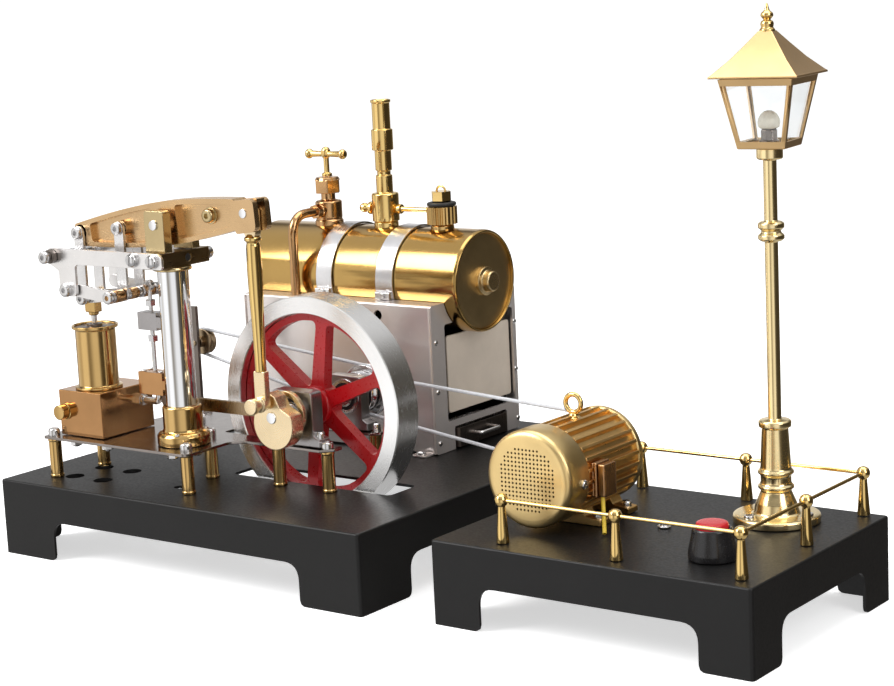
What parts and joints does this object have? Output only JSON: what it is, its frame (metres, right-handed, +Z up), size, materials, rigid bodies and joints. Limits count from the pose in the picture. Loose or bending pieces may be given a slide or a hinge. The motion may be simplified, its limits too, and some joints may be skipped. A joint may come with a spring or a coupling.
{
  "type": "model steam engine",
  "caption": "Model beam steam engine with boiler and flywheel on a pressed black base, belt-driving a generator and street lamp on a second fenced base.",
  "frame": {"origin": "centre of the whole object's footprint, on the surface it stands on", "axes": "+X from the engine towards the lamp base, +Y from the front edges towards the boiler, +Z up"},
  "size_m": [0.3658, 0.194, 0.2264],
  "materials": {
    "satin_black": "satin powder coat",
    "brushed_steel": "fine brushed",
    "polished_steel": "turned and polished",
    "dark_steel": "dark, dull",
    "chrome": "mirror polished",
    "brass": "satin turned",
    "gold_brass": "polished, lacquered",
    "copper_brass": "satin, reddish",
    "dark_bronze": "dark bronze",
    "red_paint": "gloss enamel",
    "pale_cord": "round, semi-matt",
    "yellow_wire": "insulated wire",
    "black_plastic": "semi-matt moulded",
    "red_plastic": "gloss moulded",
    "clear_glass": "clear",
    "bulb_white": "pearl"
  },
  "bodies": {
    "base": {"engine_base": "satin_black", "lamp_base": "satin_black", "engine_table": "brushed_steel", "cylinder_block": "copper_brass", "cylinder": "brass", "valve_chest": "brass", "spindle_guide": "brushed_steel", "column_base": "brass", "column": "chrome", "entablature": "dark_bronze", "upright_front": "brass", "upright_rear": "brass", "side_frame_front": "brushed_steel", "side_frame_rear": "brushed_steel", "bearing_front": "brushed_steel", "bearing_rear": "brushed_steel", "idler_post": "dark_bronze", "generator_belt": "pale_cord", "idler_belt": "pale_cord", "firebox": "brushed_steel", "boiler": "gold_brass", "boiler_strap_left": "brushed_steel", "boiler_strap_right": "brushed_steel", "steam_valve_body": "copper_brass", "steam_pipe": "copper_brass", "whistle": "gold_brass", "safety_valve_body": "brass", "generator_body": "gold_brass", "generator_cover": "gold_brass", "generator_wire": "yellow_wire", "fence": "gold_brass", "button_body": "black_plastic", "lamp_post": "gold_brass", "lantern_frame": "gold_brass", "lantern_glass": "clear_glass", "lamp_bulb": "bulb_white", "lantern_roof": "gold_brass"},
    "beam": {"beam": "copper_brass"},
    "end_links": {"links_end": "brushed_steel"},
    "middle_links": {"links_middle": "brushed_steel"},
    "tie": {"cross_shaft": "brass"},
    "radius_front": {"radius_bar_front": "brushed_steel"},
    "radius_rear": {"radius_bar_rear": "brushed_steel"},
    "piston": {"piston_rod": "brushed_steel", "crosshead": "brass"},
    "connecting_rod": {"connecting_rod": "brass"},
    "spindle": {"valve_spindle": "brushed_steel"},
    "shaft": {"crankshaft": "brushed_steel", "crank": "brass", "flywheel_rim": "polished_steel", "flywheel_spider": "red_paint"},
    "idler": {"idler_pulley": "brass"},
    "generator_rotor": {"generator_pulley": "brushed_steel"},
    "valve_lever": {"valve_lever": "dark_bronze"},
    "eccentric_rod": {"eccentric_rod": "brass"},
    "steam_handle": {"steam_valve_handle": "gold_brass"},
    "whistle_lever": {"whistle_lever": "brass"},
    "safety_cap": {"safety_valve_cap": "gold_brass"},
    "button": {"button_cap": "red_plastic"},
    "tray": {"burner_tray": "dark_steel"}
  },
  "joints": [
    {"name": "beam_rock", "type": "hinge", "parent": "base", "child": "beam", "pos_m": [-0.0971, -0.0685, 0.1453], "axis": [0, 1, 0], "range_deg": [-0.3, 15]},
    {"name": "end_links_swing", "type": "hinge", "parent": "beam", "child": "end_links", "pos_m": [-0.1469, -0.0685, 0.1397], "axis": [0, 1, 0], "range_deg": [-15.3, 0.6]},
    {"name": "middle_links_swing", "type": "hinge", "parent": "beam", "child": "middle_links", "pos_m": [-0.1227, -0.0685, 0.1425], "axis": [0, 1, 0], "range_deg": [-15.3, 0.6]},
    {"name": "tie_swing", "type": "hinge", "parent": "middle_links", "child": "tie", "pos_m": [-0.1227, -0.0685, 0.1142], "axis": [0, 1, 0], "range_deg": [-0.6, 15.3]},
    {"name": "radius_front_swing", "type": "hinge", "parent": "base", "child": "radius_front", "pos_m": [-0.1459, -0.0811, 0.1166], "axis": [0, 1, 0], "range_deg": [-16.86, 0.63]},
    {"name": "radius_rear_swing", "type": "hinge", "parent": "base", "child": "radius_rear", "pos_m": [-0.1459, -0.0559, 0.1166], "axis": [0, 1, 0], "range_deg": [-16.86, 0.63]},
    {"name": "piston_slide", "type": "slide", "parent": "base", "child": "piston", "axis": [0, 0, 1], "range_m": [-0.00046, 0.01325]},
    {"name": "connecting_rod_swing", "type": "hinge", "parent": "beam", "child": "connecting_rod", "pos_m": [-0.0525, -0.0685, 0.151], "axis": [0, 1, 0], "range_deg": [-15.3, 0.6]},
    {"name": "spindle_slide", "type": "slide", "parent": "base", "child": "spindle", "axis": [0, 0, 1], "range_m": [-0.0003, 0.0025]},
    {"name": "shaft_spin", "type": "hinge", "parent": "base", "child": "shaft", "pos_m": [-0.0507, -0.047, 0.066], "axis": [0, 1, 0], "continuous": true},
    {"name": "idler_spin", "type": "hinge", "parent": "base", "child": "idler", "pos_m": [-0.1443, -0.0038, 0.081], "axis": [0, 1, 0], "continuous": true},
    {"name": "generator_spin", "type": "hinge", "parent": "base", "child": "generator_rotor", "pos_m": [0.0753, -0.009, 0.0536], "axis": [0, 1, 0], "continuous": true},
    {"name": "valve_lever_swing", "type": "hinge", "parent": "base", "child": "valve_lever", "pos_m": [-0.1164, -0.0584, 0.0725], "axis": [0, 1, 0], "range_deg": [-10, 10]},
    {"name": "eccentric_rod_swing", "type": "hinge", "parent": "valve_lever", "child": "eccentric_rod", "pos_m": [-0.1164, -0.0561, 0.0658], "axis": [0, 1, 0], "range_deg": [-10.3, 10.3]},
    {"name": "steam_handle_turn", "type": "hinge", "parent": "base", "child": "steam_handle", "pos_m": [-0.1135, 0.053, 0.1612], "axis": [0, 0, 1], "range_deg": [-60, 300]},
    {"name": "whistle_lever_turn", "type": "hinge", "parent": "base", "child": "whistle_lever", "pos_m": [-0.0799, 0.053, 0.137], "axis": [1, 0, 0], "range_deg": [0, 90]},
    {"name": "safety_cap_lift", "type": "slide", "parent": "base", "child": "safety_cap", "axis": [0, 0, 1], "range_m": [0, 0.0015], "stiffness_N_per_m": 300, "springref_m": -0.0005},
    {"name": "button_press", "type": "slide", "parent": "base", "child": "button", "axis": [0, 0, -1], "range_m": [0, 0.0025], "stiffness_N_per_m": 400, "springref_m": -0.0006},
    {"name": "tray_slide", "type": "slide", "parent": "base", "child": "tray", "axis": [1, 0, 0], "range_m": [0, 0.04]}
  ],
  "couplings": [
    {"joint": "end_links_swing", "follows": "beam_rock", "ratio": -1},
    {"joint": "middle_links_swing", "follows": "beam_rock", "ratio": -1},
    {"joint": "tie_swing", "follows": "beam_rock", "ratio": 1},
    {"joint": "radius_front_swing", "follows": "beam_rock", "ratio": -1.1041},
    {"joint": "radius_rear_swing", "follows": "beam_rock", "ratio": -1.1041},
    {"joint": "piston_slide", "follows": "beam_rock", "m_per_rad": 0.04986},
    {"joint": "connecting_rod_swing", "follows": "beam_rock", "ratio": -1},
    {"joint": "spindle_slide", "follows": "beam_rock", "m_per_rad": 0.009},
    {"joint": "idler_spin", "follows": "shaft_spin", "ratio": 1.8696},
    {"joint": "generator_spin", "follows": "shaft_spin", "ratio": 0.6498},
    {"joint": "eccentric_rod_swing", "follows": "valve_lever_swing", "ratio": -1}
  ]
}
